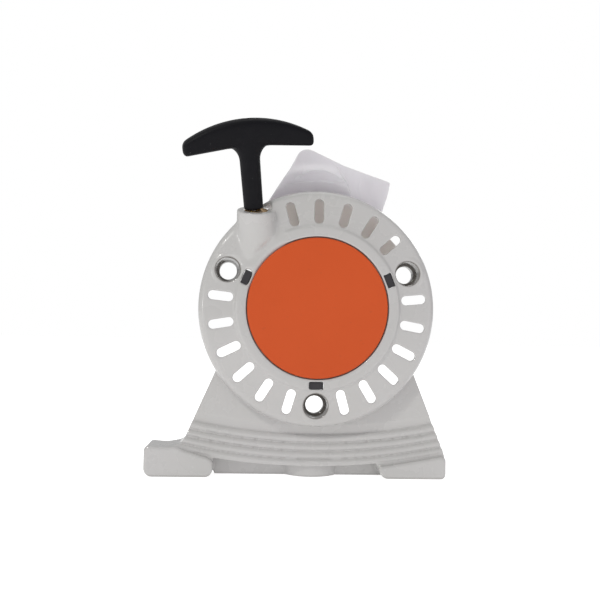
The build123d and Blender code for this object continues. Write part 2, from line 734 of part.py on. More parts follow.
# two layers of two turns
rope_rows = [(sum(GROOVE_Y) / 2 + side, radius) for side in (-1.55, 1.55) for radius in ROPE_LAYERS]
with BuildPart() as rope_coil:
    for depth, radius in rope_rows:
        with BuildSketch(Plane.XY):
            with Locations((radius, depth)):
                Circle(ROPE_R)
        revolve(axis=Axis.Y)
save(rope_coil, "rope_coil")

with BuildPart() as rotor_knot:
    with Locations((KNOT[0], ROTOR_Y[0] + KNOT_R + 0.2, KNOT[1])):
        Sphere(KNOT_R)
save(rotor_knot, "rotor_knot")

with BuildPart() as pawl_pins:
    with BuildSketch(at_depth(CLIP_Y[1])):
        with Locations(*PAWL_PINS):
            Circle(PIN_R)
    extrude(amount=CLIP_Y[1] - ROTOR_Y[1] + PIN_DEPTH)
    fillet(pawl_pins.edges().filter_by(GeomType.CIRCLE).group_by(Axis.Y)[-1], 0.3)
save(pawl_pins, "pawl_pins")

with BuildPart() as pawl_clips:
    with BuildSketch(at_depth(CLIP_Y[1] - 0.3)):
        for x, z in PAWL_PINS:
            with Locations((x, z)):
                Circle(PIN_R + 1.6)
                Circle(PIN_R, mode=Mode.SUBTRACT)
            with Locations((x + PIN_R + 0.6, z)):
                Rectangle(2.4, 1.6, mode=Mode.SUBTRACT)
    extrude(amount=0.4)
save(pawl_clips, "pawl_clips")


def pawl(angle):
    """Drive pawl folded in, with its guide peg; angle turns it round the rotor."""
    pivot = (0, PAWL_PIVOT_R)
    peg = (0, PAWL_PIVOT_R + PEG_ARM)
    with BuildPart() as lever:
        with BuildSketch(at_depth(PAWL_Y[1])):
            with BuildLine():
                back = Spline(
                    (2.6, pivot[1] + 7.4),
                    (10.5, pivot[1] + 4.4),
                    (PAWL_LENGTH, pivot[1] + 1.0),
                    tangents=[(0.9, -0.6), (1, -0.1)],
                )
                tip = Line(back @ 1, (PAWL_LENGTH - 1.0, pivot[1] - 3.6))
                belly = Spline(
                    tip @ 1,
                    (11.0, pivot[1] - 1.6),
                    (0, pivot[1] - 4.0),
                    tangents=[(-1, 0.25), (-1, -0.2)],
                )
                Polyline(belly @ 1, (-2.6, pivot[1]), (-2.6, peg[1]), back @ 0)
            make_face()
            with Locations(pivot):
                Circle(4.0)
            with Locations(peg):
                Circle(2.9)
            with Locations(pivot):
                Circle(PIN_R + RUNNING, mode=Mode.SUBTRACT)
        extrude(amount=PAWL_Y[1] - PAWL_Y[0])
        with BuildSketch(at_depth(GUIDE_Y[1] + 0.3)):
            with Locations(peg):
                Circle(PEG_R)
        extrude(amount=GUIDE_Y[1] + 0.3 - PAWL_Y[1])
    turned = lever.part.rotate(Axis.Y, angle)
    with BuildPart() as placed:
        add(turned)
    return placed


pawl_a = pawl(0)
save(pawl_a, "pawl_a")
pawl_b = pawl(180)
save(pawl_b, "pawl_b")

with BuildPart() as guide_plate:
    with BuildSketch(at_depth(GUIDE_Y[1])):
        Circle(WASHER_R)
        with Locations((0, PAWL_PIVOT_R / 2 + 7), (0, -PAWL_PIVOT_R / 2 - 7)):
            Rectangle(8.4, PAWL_PIVOT_R - 2)
        with Locations((0, PAWL_PIVOT_R + PEG_ARM - 1), (0, -PAWL_PIVOT_R - PEG_ARM + 1)):
            Circle(4.2)
        Circle(SLEEVE_R + RUNNING, mode=Mode.SUBTRACT)
        with Locations((0, PAWL_PIVOT_R + PEG_ARM - 0.2), (0, -PAWL_PIVOT_R - PEG_ARM + 0.2)):
            SlotOverall(2 * PEG_R + 1.0, 2 * PEG_R + 0.12, rotation=90, mode=Mode.SUBTRACT)
    extrude(amount=GUIDE_Y[1] - GUIDE_Y[0])
save(guide_plate, "guide_plate")

# ================================================================ rope and handle
# the rope leaves the rotor's outer layer at a tangent and bends into the outlet's tube
bend = stem.from_local_coords((0, 0, -TUBE_LENGTH))
leave_angle = degrees(atan2(bend.Z, bend.X) + acos(ROPE_LAYERS[1] / hypot(bend.X, bend.Z)))
leave_x, leave_z = on_circle(ROPE_LAYERS[1], leave_angle)
leave = Vector(leave_x, rope_rows[-1][0], leave_z)
FREE_START = 14.8        # the free rope starts this far from the tangent point

with BuildPart() as rope_run:
    toward_bend = (bend - leave).normalized()
    with BuildLine():
        path = FilletPolyline(
            leave + toward_bend * FREE_START,
            bend,
            stem.from_local_coords((0, 0, -0.1)),
            radius=9,
        )
    with BuildSketch(Plane(origin=path @ 0, z_dir=path % 0)):
        Circle(ROPE_R)
    sweep(path=path)
save(rope_run, "rope_run")

with BuildPart() as rope_pull:
    with BuildSketch(stem):
        Circle(ROPE_R)
    extrude(amount=SEAT_HEIGHT + 1.1)
save(rope_pull, "rope_pull")

with BuildPart() as knot_washer:
    with BuildSketch(stem.offset(SEAT_HEIGHT + 0.05)):
        Circle(CHAMBER_R - 0.4)
        Circle(ROPE_R + 0.1, mode=Mode.SUBTRACT)
    extrude(amount=1.0)
save(knot_washer, "knot_washer")

with BuildPart() as handle_knot:
    knot_base = SEAT_HEIGHT + 1.15
    with Locations(stem.offset(knot_base + HANDLE_KNOT_R)):
        Sphere(HANDLE_KNOT_R)
save(handle_knot, "handle_knot")

# T-shaped grip: bar with an arched top and drooping ends on a round stem
grip = stem.rotated((0, 0, HANDLE_TWIST))
bar_face = Plane(origin=grip.origin, x_dir=grip.x_dir, z_dir=-grip.y_dir)
with BuildPart() as handle:
    with BuildSketch(bar_face.offset(-BAR_DEPTH / 2)):
        with BuildLine():
            for side in (-1, 1):
                Polyline(
                    (0, STEM_TOP - 12),
                    (side * 5.4, STEM_TOP - 12),
                    (side * 5.4, STEM_TOP - 7.2),
                )
                flare = TangentArc(
                    (side * 5.4, STEM_TOP - 7.2),
                    (side * 13.8, STEM_TOP - 0.5),
                    tangent=(0, 1),
                )
                Polyline(flare @ 1, (side * BAR_HALF, BAR_TIP[0]), (side * BAR_HALF, BAR_TIP[1]))
            ThreePointArc((-BAR_HALF, BAR_TIP[1]), (0, BAR_CROWN), (BAR_HALF, BAR_TIP[1]))
        make_face()
    extrude(amount=BAR_DEPTH)
    ends = handle.faces().filter_by(bar_face)
    fillet([edge for face in ends for edge in face.edges()], 3.0)
    with BuildSketch(stem):
        Circle(STEM_R[0])
    with BuildSketch(stem.offset(STEM_TOP + 2)):
        Circle(STEM_R[1])
    loft()
    with BuildSketch(stem):
        Circle(ROPE_R + 0.3)
    extrude(amount=BAR_CROWN, mode=Mode.SUBTRACT)
    with BuildSketch(stem.offset(SEAT_HEIGHT)):
        Circle(CHAMBER_R)
    extrude(amount=BAR_CROWN, mode=Mode.SUBTRACT)
save(handle, "pull_handle")
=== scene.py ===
"""Looks of a recoil starter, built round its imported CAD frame.

Every CAD node gets a procedural material, and new meshes stand for the cover, the grip, the air
guide and the rope. Lengths are written in millimetres and turned into metres by MM.
"""

import json
import math

import bpy
import numpy as np
from mathutils import Matrix, Vector


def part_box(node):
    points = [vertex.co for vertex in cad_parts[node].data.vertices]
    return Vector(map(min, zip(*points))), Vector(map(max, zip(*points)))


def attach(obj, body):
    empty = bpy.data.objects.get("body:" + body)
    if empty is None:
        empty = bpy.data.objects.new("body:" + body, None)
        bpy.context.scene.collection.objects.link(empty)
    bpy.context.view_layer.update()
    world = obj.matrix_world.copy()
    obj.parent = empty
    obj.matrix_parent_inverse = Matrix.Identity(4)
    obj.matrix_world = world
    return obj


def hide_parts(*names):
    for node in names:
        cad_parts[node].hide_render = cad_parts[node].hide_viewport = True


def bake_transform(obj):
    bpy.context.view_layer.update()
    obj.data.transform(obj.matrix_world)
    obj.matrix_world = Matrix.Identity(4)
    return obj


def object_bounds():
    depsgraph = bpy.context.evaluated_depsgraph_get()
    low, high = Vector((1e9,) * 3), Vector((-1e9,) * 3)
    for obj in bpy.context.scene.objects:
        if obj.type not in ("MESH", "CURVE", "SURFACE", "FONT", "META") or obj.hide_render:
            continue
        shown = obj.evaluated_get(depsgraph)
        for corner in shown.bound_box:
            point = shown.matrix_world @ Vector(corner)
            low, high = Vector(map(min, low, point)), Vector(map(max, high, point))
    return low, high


MM = 0.001
FULL_TURN = 2 * math.pi

# ------------------------------------------------------------------ frame
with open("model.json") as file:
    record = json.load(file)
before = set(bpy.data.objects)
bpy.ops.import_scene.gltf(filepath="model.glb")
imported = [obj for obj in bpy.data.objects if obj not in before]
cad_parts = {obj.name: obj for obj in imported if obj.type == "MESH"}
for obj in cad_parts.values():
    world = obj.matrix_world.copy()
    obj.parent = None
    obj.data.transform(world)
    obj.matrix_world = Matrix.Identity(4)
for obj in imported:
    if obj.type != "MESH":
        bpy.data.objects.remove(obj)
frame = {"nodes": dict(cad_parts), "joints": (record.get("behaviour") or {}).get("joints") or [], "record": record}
cad_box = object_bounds()
nodes = frame["nodes"]
joints = {joint["name"]: joint for joint in frame["joints"]}
slot_of = {part["node"]: part["material_slot"] for part in frame["record"]["subparts"]}

stem_axis = Vector(joints["handle_twist"]["axis"]).normalized()
stem_base = Vector(joints["handle_twist"]["pos_m"])
pull_length = joints["handle_pull"]["range_m"][1]

mounts = {mount["name"]: mount for mount in frame["record"]["mounts"]}
bolt_circle = -mounts["lower_fixing_hole"]["pos_m"][2]
upper_z = mounts["upper_fixing_holes"]["pos_m"][2]
upper_x = math.sqrt(bolt_circle**2 - upper_z**2)
bolt_holes = [(0, -bolt_circle), (-upper_x, upper_z), (upper_x, upper_z)]
MOUTH_R = 8.1 * MM           # deep mouths in front of the bolt seats; their walls get painted shade

# ------------------------------------------------------------------ mesh helpers
def round_turn(count):
    """Evenly spaced angles of one turn."""
    return np.linspace(0, FULL_TURN, count, endpoint=False)


def add_mesh(name, points, faces, smooth=True):
    """New mesh object in the part's own frame."""
    mesh = bpy.data.meshes.new(name)
    mesh.from_pydata([tuple(point) for point in points], [], faces)
    mesh.update()
    if smooth:
        mesh.shade_smooth()
    piece = bpy.data.objects.new(name, mesh)
    bpy.context.scene.collection.objects.link(piece)
    return piece


def ring_faces(rows, columns, closed=False):
    """Quads between rings of points, with a cap on each open end."""
    faces = []
    for row in range(rows if closed else rows - 1):
        after = (row + 1) % rows
        for column in range(columns):
            beside = (column + 1) % columns
            faces.append(
                (
                    row * columns + column,
                    row * columns + beside,
                    after * columns + beside,
                    after * columns + column,
                )
            )
    if not closed:
        faces.append(tuple(range(columns))[::-1])
        faces.append(tuple(range((rows - 1) * columns, rows * columns)))
    return faces


def join(pieces, name):
    """Makes one object of several."""
    whole = pieces[0]
    with bpy.context.temp_override(active_object=whole, selected_editable_objects=pieces):
        bpy.ops.object.join()
    whole.name = name
    return whole


def apply_modifiers(piece):
    """Replaces the piece's mesh by its modified one."""
    graph = bpy.context.evaluated_depsgraph_get()
    mesh = bpy.data.meshes.new_from_object(piece.evaluated_get(graph))
    piece.modifiers.clear()
    piece.data = mesh


def remesh(piece, voxel, rounds):
    """One closed skin of small quads round the piece, lightly smoothed."""
    skin = piece.modifiers.new("skin", "REMESH")
    skin.mode = "VOXEL"
    skin.voxel_size = voxel
    apply_modifiers(piece)
    relax(piece, np.full(len(piece.data.vertices), 0.5), rounds)
    piece.data.shade_smooth()


def remeshed_node(name, node, voxel, rounds):
    """Copy of a CAD node with its faces joined up and remeshed."""
    piece = bpy.data.objects.new(name, nodes[node].data.copy())
    bpy.context.scene.collection.objects.link(piece)
    weld = piece.modifiers.new("weld", "WELD")
    weld.merge_threshold = 0.01 * MM
    remesh(piece, voxel, rounds)
    return piece


def read_points(piece):
    """The mesh's points as an array."""
    points = np.zeros(len(piece.data.vertices) * 3)
    piece.data.vertices.foreach_get("co", points)
    return points.reshape(-1, 3)


def write_points(piece, points):
    """Moves the mesh's points to these places."""
    piece.data.vertices.foreach_set("co", points.astype(np.float32).ravel())
    piece.data.update()


def relax(piece, share, rounds):
    """Draws every point towards the middle of its neighbours, by its share, again and again."""
    points = read_points(piece)
    count = len(points)
    edges = np.zeros(len(piece.data.edges) * 2, dtype=np.int32)
    piece.data.edges.foreach_get("vertices", edges)
    a, b = edges.reshape(-1, 2).T
    neighbours = np.bincount(a, minlength=count) + np.bincount(b, minlength=count)
    for _ in range(rounds):
        middle = [
            np.bincount(a, points[b, i], count) + np.bincount(b, points[a, i], count)
            for i in range(3)
        ]
        points += (np.array(middle).T / neighbours[:, None] - points) * share[:, None]
    write_points(piece, points)


def smooth_step(value, low, high):
    """0 at low, 1 at high and a smooth climb between them."""
    share = np.clip((value - low) / (high - low), 0, 1)
    return share * share * (3 - 2 * share)


# ------------------------------------------------------------------ materials
class Look:
    """One procedural material, with short calls for its node tree."""

    def __init__(self, name):
        self.material = bpy.data.materials.new(name)
        self.material.use_nodes = True
        self.tree = self.material.node_tree
        self.surface = self.tree.nodes["Principled BSDF"]
        self.place = self.add("ShaderNodeTexCoord").outputs["Object"]

    def feed(self, node, inputs):
        """Sets the node's inputs, each to a value or to another node's output."""
        for key, value in inputs.items():
            if isinstance(value, bpy.types.NodeSocket):
                self.tree.links.new(value, node.inputs[key])
            else:
                node.inputs[key].default_value = value

    def add(self, kind, inputs=None, **settings):
        """New node of this kind."""
        node = self.tree.nodes.new(kind)
        for key, value in settings.items():
            setattr(node, key, value)
        self.feed(node, inputs or {})
        return node

    def noise(self, scale, detail=2.0, stretch=None):
        """Cloudy value round 0.5; stretch scales the pattern along each axis."""
        place = self.place
        if stretch:
            place = self.add("ShaderNodeMapping", {"Vector": place, "Scale": stretch}).outputs[0]
        inputs = {"Vector": place, "Scale": scale, "Detail": detail}
        return self.add("ShaderNodeTexNoise", inputs).outputs[0]

    def span(self, value, low, high, to_low=0.0, to_high=1.0):
        """Value between low and high, mapped to the other range and clamped."""
        inputs = {
            "Value": value,
            "From Min": low,
            "From Max": high,
            "To Min": to_low,
            "To Max": to_high,
        }
        return self.add("ShaderNodeMapRange", inputs).outputs[0]

    def times(self, a, b):
        """Product of two values."""
        return self.add("ShaderNodeMath", {0: a, 1: b}, operation="MULTIPLY").outputs[0]

    def mix(self, factor, a, b):
        """Colour between a and b."""
        colours = [c if isinstance(c, bpy.types.NodeSocket) else (*c, 1) for c in (a, b)]
        inputs = {0: factor, 6: colours[0], 7: colours[1]}
        return self.add("ShaderNodeMix", inputs, data_type="RGBA").outputs[2]

    def specks(self, scale, share, size=0.2):
        """1 in small round dots, which sit in this share of the cells."""
        cells = self.add("ShaderNodeTexVoronoi", {"Vector": self.place, "Scale": scale})
        lot = self.add("ShaderNodeSeparateColor", {0: cells.outputs["Color"]}).outputs[0]
        chosen = self.span(lot, 1 - share, 1 - share + 0.001)
        dot = self.span(cells.outputs["Distance"], size, size * 0.5)
        return self.times(chosen, dot)

    def soft_normal(self, radius):
        """Normal with sharp edges rounded by this radius."""
        return self.add("ShaderNodeBevel", {"Radius": radius}, samples=4).outputs[0]

    def edges(self, soft):
        """1 on sharp edges, from how far the rounded normal turns."""
        flat = self.add("ShaderNodeNewGeometry").outputs["Normal"]
        inputs = {0: soft, 1: flat}
        facing = self.add("ShaderNodeVectorMath", inputs, operation="DOT_PRODUCT")
        return self.span(facing.outputs["Value"], 0.99, 0.8)

    def off_axis(self, x, z):
        """Distance from the line along Y through (x, z)."""
        apart = self.add("ShaderNodeSeparateXYZ", {0: self.place})
        flat = self.add("ShaderNodeCombineXYZ", {0: apart.outputs[0], 2: apart.outputs[2]})
        inputs = {0: flat.outputs[0], 1: (x, 0, z)}
        gap = self.add("ShaderNodeVectorMath", inputs, operation="DISTANCE")
        return gap.outputs["Value"]

    def painted_crevice_shade(self, distance):
        """1 deep in holes and creases, 0 on open surfaces; a mask for painted shade."""
        shade = self.add("ShaderNodeAmbientOcclusion", {"Distance": distance}, samples=6)
        return self.span(shade.outputs["AO"], 0.75, 0.25)

    def bump(self, layers, normal=None):
        """Stacks bumps; each layer is a height and its depth in metres."""
        for height, depth in layers:
            inputs = {"Height": height, "Distance": depth}
            if normal:
                inputs["Normal"] = normal
            normal = self.add("ShaderNodeBump", inputs).outputs[0]
        return normal

    def done(self, **inputs):
        """Sets the surface's inputs and returns the finished material."""
        self.feed(self.surface, {key.replace("_", " "): value for key, value in inputs.items()})
        return self.material


def cover_plastic():
    """Light grey moulded plastic with a semi-gloss skin, faint clouding, a few dust specks, and painted shade in
    its creases and bolt mouths.
    """
    look = Look("cover_plastic")
    tone = look.mix(look.noise(16), (0.520, 0.515, 0.500), (0.580, 0.567, 0.572))
    tone = look.mix(look.times(look.specks(120, 0.010, 0.12), 0.6), tone, (0.16, 0.15, 0.14))
    # painted shade: the colour is darkened deep in holes and creases, where shadow falls
    tone = look.mix(look.times(look.painted_crevice_shade(4 * MM), 0.5), tone, (0.17, 0.155, 0.14))
    # painted shade: the walls of the deep bolt mouths are darkened to stand for the shade inside them
    for x, z in bolt_holes:
        inside = look.span(look.off_axis(x, z), MOUTH_R + 0.8 * MM, MOUTH_R + 0.1 * MM)
        tone = look.mix(look.times(inside, 0.9), tone, (0.165, 0.148, 0.132))
    rough = look.span(look.noise(60, 4), 0.3, 0.7, 0.22, 0.32)
    return look.done(
        Base_Color=tone,
        Roughness=rough,
        Specular_IOR_Level=0.5,
        Coat_Weight=0.6,
        Coat_Roughness=0.06,
        Normal=look.bump([(look.noise(110), 0.05 * MM), (look.noise(1500), 0.006 * MM)]),
    )


def cap_orange():
    """Satin orange plastic with a fine eroded grain, a few rubbed spots and a painted highlight along its edges.
    """
    look = Look("cap_orange")
    tone = look.mix(look.noise(24, 3), (0.610, 0.086, 0.017), (0.665, 0.098, 0.022))
    soft = look.soft_normal(0.3 * MM)
    # painted highlight: the edges are lightened to stand for the light they catch
    tone = look.mix(look.times(look.edges(soft), 0.3), tone, (0.70, 0.17, 0.07))
    scuff = look.times(look.span(look.noise(300, 5, (1, 1, 3)), 0.66, 0.72), 0.22)
    tone = look.mix(scuff, tone, (0.36, 0.07, 0.03))
    rough = look.span(look.noise(160, 4), 0.3, 0.7, 0.40, 0.52)
    return look.done(
        Base_Color=tone,
        Roughness=rough,
        Specular_IOR_Level=0.22,
        Normal=look.bump([(look.noise(2200), 0.010 * MM), (look.noise(90), 0.03 * MM)], soft),
    )


def grip_black():
    """Bluish black grained plastic, worn pale in scattered specks."""
    look = Look("grip_black")
    tone = look.mix(look.noise(60), (0.0025, 0.0025, 0.0040), (0.0045, 0.0043, 0.0068))
    worn = look.times(look.specks(900, 0.05, 0.35), look.span(look.noise(110, 3), 0.55, 0.7))
    tone = look.mix(look.times(worn, 0.7), tone, (0.10, 0.10, 0.10))
    rough = look.span(look.noise(240, 4), 0.3, 0.7, 0.42, 0.56)
    return look.done(
        Base_Color=tone,
        Roughness=rough,
        Specular_IOR_Level=0.16,
        Normal=look.bump([(look.noise(1300, 4), 0.035 * MM)]),
    )


def black_plastic():
    """Black injection moulding with a slight sheen and a painted highlight along its edges."""
    look = Look("black_plastic")
    tone = look.mix(look.noise(80), (0.022, 0.020, 0.024), (0.040, 0.037, 0.043))
    soft = look.soft_normal(0.25 * MM)
    # painted highlight: lighter colour on the edges
    tone = look.mix(look.times(look.edges(soft), 0.5), tone, (0.09, 0.085, 0.095))
    return look.done(
        Base_Color=tone,
        Roughness=look.span(look.noise(200, 3), 0.3, 0.7, 0.34, 0.5),
        Normal=look.bump([(look.noise(1700), 0.012 * MM)], soft),
    )


def guide_plastic():
    """Milky plastic that lets some light through, with a smooth, slightly streaked skin and painted light that
    brightens it behind the slots.
    """
    look = Look("guide_plastic")
    streaks = look.noise(45, 4, (1.6, 1, 0.6))
    tone = look.mix(streaks, (0.62, 0.615, 0.635), (0.74, 0.73, 0.76))
    tone = look.mix(look.times(look.specks(140, 0.02), 0.4), tone, (0.30, 0.28, 0.28))
    # painted light: the sheet within about 80 mm of the axis, seen through the slots, is made lighter and warmer
    inside = look.span(look.off_axis(0, 0), 82 * MM, 72 * MM)
    tone = look.mix(inside, tone, (0.87, 0.825, 0.775))
    return look.done(
        Base_Color=tone,
        Roughness=look.span(look.noise(70, 4), 0.3, 0.7, 0.12, 0.26),
        Subsurface_Weight=1.0,
        Subsurface_Radius=(5 * MM, 4.6 * MM, 4.8 * MM),
        Subsurface_Scale=1.0,
        Coat_Weight=0.25,
        Coat_Roughness=0.08,
        Normal=look.bump([(look.noise(55, 3), 0.22 * MM), (look.noise(210, 3), 0.05 * MM)]),
    )


def rotor_plastic():
    """Dark glass-filled nylon with pale fibre flecks and a painted highlight along its edges."""
    look = Look("rotor_plastic")
    fibre = look.span(look.noise(420, 5, (1, 1, 5)), 0.58, 0.7)
    tone = look.mix(look.times(fibre, 0.5), (0.020, 0.020, 0.023), (0.075, 0.075, 0.08))
    soft = look.soft_normal(0.25 * MM)
    # painted highlight: lighter colour on the edges
    tone = look.mix(look.times(look.edges(soft), 0.5), tone, (0.12, 0.12, 0.125))
    return look.done(
        Base_Color=tone,
        Roughness=look.span(look.noise(300, 3), 0.3, 0.7, 0.42, 0.6),
        Normal=look.bump([(look.noise(1200), 0.015 * MM)], soft),
    )


def metal(name, dark, light, rough, stretch):
    """Metal with tone clouds, fine drawn lines along one axis and edges made brighter by a painted highlight."""
    look = Look(name)
    lines = look.noise(500, 3, stretch)
    tone = look.mix(look.noise(110, 4), dark, light)
    soft = look.soft_normal(0.2 * MM)
    # painted highlight: brighter colour on the edges
    tone = look.mix(look.times(look.edges(soft), 0.6), tone, tuple(min(1, 1.4 * c) for c in light))
    return look.done(
        Base_Color=tone,
        Metallic=1.0,
        Roughness=look.span(lines, 0.3, 0.7, *rough),
        Normal=look.bump([(lines, 0.006 * MM)], soft),
    )


def rope_fibre():
    """Off-white polyester braid: fine fibres along the strands, slightly soiled."""
    look = Look("rope")
    fibres = look.noise(2600, 3, (1, 1, 0.35))
    tone = look.mix(look.noise(140, 3), (0.56, 0.53, 0.46), (0.72, 0.70, 0.63))
    tone = look.mix(look.span(fibres, 0.35, 0.65, 0.5, 0.0), tone, (0.34, 0.31, 0.26))
    return look.done(
        Base_Color=tone,
        Roughness=0.85,
        Sheen_Weight=0.25,
        Normal=look.bump([(fibres, 0.05 * MM)]),
    )


LOOKS = {
    "cover_plastic": cover_plastic(),
    "cap_orange": cap_orange(),
    "grip_black": grip_black(),
    "black_plastic": black_plastic(),
    "guide_plastic": guide_plastic(),
    "rotor_plastic": rotor_plastic(),
    "brass": metal("brass", (0.50, 0.29, 0.09), (0.75, 0.47, 0.17), (0.18, 0.34), (1, 1, 0.2)),
    "steel": metal("steel", (0.42, 0.42, 0.43), (0.62, 0.62, 0.64), (0.24, 0.42), (0.2, 1, 1)),
    "spring_steel": metal(
        "spring_steel", (0.14, 0.15, 0.18), (0.27, 0.28, 0.32), (0.28, 0.45), (1, 0.2, 1)
    ),
    "rope": rope_fibre(),
}


def wear(piece, slot):
    """Gives the piece its slot's material and no other."""
    piece.data.materials.clear()
    piece.data.materials.append(LOOKS[slot])


def stand_in(piece, node, body=None):
    """Finishes a new piece: its material, the CAD node it stands for and the body it rides on."""
    wear(piece, slot_of[node])
    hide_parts(node)
    if body:
        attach(piece, body)


for name, node in nodes.items():
    wear(node, slot_of[name])


# ------------------------------------------------------------------ grip
# Sizes are in mm, and heights are above the stem's base.
GRIP_TWIST = math.radians(8)     # the bar's left end is turned forward
STEM_R = (6.35, 6.75)            # at the base and under the bar
STEM_LIP = ((0.0, -0.45), (0.13, -0.18), (0.45, 0.0))    # round lower edge: height, inset
FLARE_FROM = 31.5
FLARE = (8.5, 0.4)               # how far the stem spreads along and across the bar
FLARE_END = 0.985                # share of a quarter circle where the flare meets the bar
STEM_TOP = 40.1
BAR_HALF = 42.0
FLAT_HALF = 13.8                 # the underside is flat as far as this
TIP_UNDER = 37.4
TIP_TOP = 46.0
CROWN = 58.0
BAR_DEPTH = (7.4, 6.1)           # half depth at the middle and at the ends
END_ROUND = 2.6
SQUARENESS = 3.6                 # 2 would be an ellipse
CHAMBER_R = (4.6, 3.7)           # at the knot's seat and at the mouth
CHAMBER_FLOOR = 44.0
BORE_R = 1.8
GRIP_AROUND = 64                 # points round the bar and the stem
GRIP_VOXEL = 0.5

tilt = math.atan2(-stem_axis.x, stem_axis.z)
across = Vector((math.cos(tilt), 0, math.sin(tilt)))
away = stem_axis.cross(across)
bar_along = across * math.cos(GRIP_TWIST) + away * math.sin(GRIP_TWIST)
bar_away = away * math.cos(GRIP_TWIST) - across * math.sin(GRIP_TWIST)


def grip_points(rings):
    """Points in the part's frame from rings of (along the bar, to the back, up the stem)."""
    basis = np.array([bar_along, bar_away, stem_axis])
    return np.array(stem_base) + np.concatenate(rings) @ basis * MM


def rounded_section(half_a, half_b):
    """Points of a rounded rectangle without straight sides."""
    turn = round_turn(GRIP_AROUND)
    power = 2 / SQUARENESS
    a = np.sign(np.cos(turn)) * np.abs(np.cos(turn)) ** power * half_a
    b = np.sign(np.sin(turn)) * np.abs(np.sin(turn)) ** power * half_b
    return a, b


def grip_bar():
    """Arched bar with drooping ends."""
    rise = CROWN - TIP_TOP
    arch_r = (BAR_HALF**2 + rise**2) / (2 * rise)
    ends = END_ROUND * (1 - np.cos(np.linspace(0, math.pi / 2, 7)))
    middle = np.linspace(END_ROUND, 2 * BAR_HALF - END_ROUND, 60)[1:-1]
    stations = np.concatenate([ends, middle, 2 * BAR_HALF - ends[::-1]]) - BAR_HALF
    rings = []
    for along in stations:
        top = CROWN - arch_r + math.sqrt(arch_r**2 - along**2)
        droop = max(0, abs(along) - FLAT_HALF) / (BAR_HALF - FLAT_HALF)
        under = STEM_TOP + (TIP_UNDER - STEM_TOP) * droop
        from_end = min(BAR_HALF - abs(along), END_ROUND)
        inset = END_ROUND - math.sqrt(max(0, END_ROUND**2 - (END_ROUND - from_end) ** 2))
        depth = BAR_DEPTH[0] + (BAR_DEPTH[1] - BAR_DEPTH[0]) * (along / BAR_HALF) ** 2
        b, h = rounded_section(depth - inset, (top - under) / 2 - inset)
        rings.append(np.c_[np.full(GRIP_AROUND, along), b, (top + under) / 2 + h])
    return add_mesh("grip_bar", grip_points(rings), ring_faces(len(rings), GRIP_AROUND))


def grip_stem():
    """Round stem that flares into the underside of the bar."""
    levels = list(STEM_LIP)
    levels += [(height, 0.0) for height in np.linspace(2, FLARE_FROM, 16)]
    levels += [(height, 0.0) for height in np.linspace(FLARE_FROM, STEM_TOP + 0.9, 18)[1:]]
    levels.append((STEM_TOP + 4, 0.0))
    turn = round_turn(GRIP_AROUND)
    reach = STEM_TOP + 1 - FLARE_FROM
    rings = []
    for height, inset in levels:
        radius = STEM_R[0] + (STEM_R[1] - STEM_R[0]) * height / STEM_TOP + inset
        climb = min(max(0, (height - FLARE_FROM) / reach), FLARE_END)
        flare = 1 - math.sqrt(1 - climb**2)
        a = np.cos(turn) * (radius + FLARE[0] * flare)
        b = np.sin(turn) * (radius + FLARE[1] * flare)
        rings.append(np.c_[a, b, np.full(GRIP_AROUND, height)])
    return add_mesh("grip_stem", grip_points(rings), ring_faces(len(rings), GRIP_AROUND))


def grip_cutter(name, low_r, high_r, low, high):
    """Round, tapered bar used to cut a hole along the stem."""
    turn = round_turn(48)
    ring = np.c_[np.cos(turn), np.sin(turn)]
    ends = ((low_r, low), (high_r, high))
    rings = [np.c_[ring * radius, np.full(len(turn), height)] for radius, height in ends]
    return add_mesh(name, grip_points(rings), ring_faces(2, len(turn)))


def make_grip():
    """The T-shaped grip, with the rope's bore and the knot's chamber."""
    grip = join([grip_bar(), grip_stem()], "t_grip")
    remesh(grip, GRIP_VOXEL * MM, 5)
    cutters = [
        grip_cutter("grip_bore", BORE_R, BORE_R, -2, CROWN - 1),
        grip_cutter("grip_chamber", *CHAMBER_R, CHAMBER_FLOOR, CROWN + 0.5),
    ]
    for cutter in cutters:
        cut = grip.modifiers.new(cutter.name, "BOOLEAN")
        cut.operation = "DIFFERENCE"
        cut.object = cutter
    apply_modifiers(grip)
    for cutter in cutters:
        bpy.data.objects.remove(cutter)
    grip.data.shade_smooth()
    grip.data.set_sharp_from_angle(angle=math.radians(50))
    stand_in(grip, "pull_handle", "handle")


# ------------------------------------------------------------------ cover
COVER_VOXEL = 0.48               # in mm, as the sizes below
OUTLET_WALL = (9.5, 11.5)        # distance from the rope's line where the outlet's outside starts
OUTLET_BLEND = (19.0, 24.0)      # and where its wide fillet has run out
OUTLET_LIP = (-10.0, -5.0)       # height of the lip, which stays crisp, from the stem's base
BLEND_ROUNDS = 40                # more of them make the fillet wider


def make_cover():
    """The moulded cover with round edges and a wide fillet round the foot of the rope outlet."""
    cover = remeshed_node("moulded_cover", "starter_housing", COVER_VOXEL * MM, 1)
    axis = np.array(stem_axis)
    from_base = (read_points(cover) - np.array(stem_base)) / MM
    along = from_base @ axis
    off_line = np.linalg.norm(from_base - along[:, None] * axis, axis=1)
    share = smooth_step(off_line, *OUTLET_WALL) * (1 - smooth_step(off_line, *OUTLET_BLEND))
    share *= 1 - smooth_step(along, *OUTLET_LIP)
    relax(cover, share, BLEND_ROUNDS)
    stand_in(cover, "starter_housing", "housing")


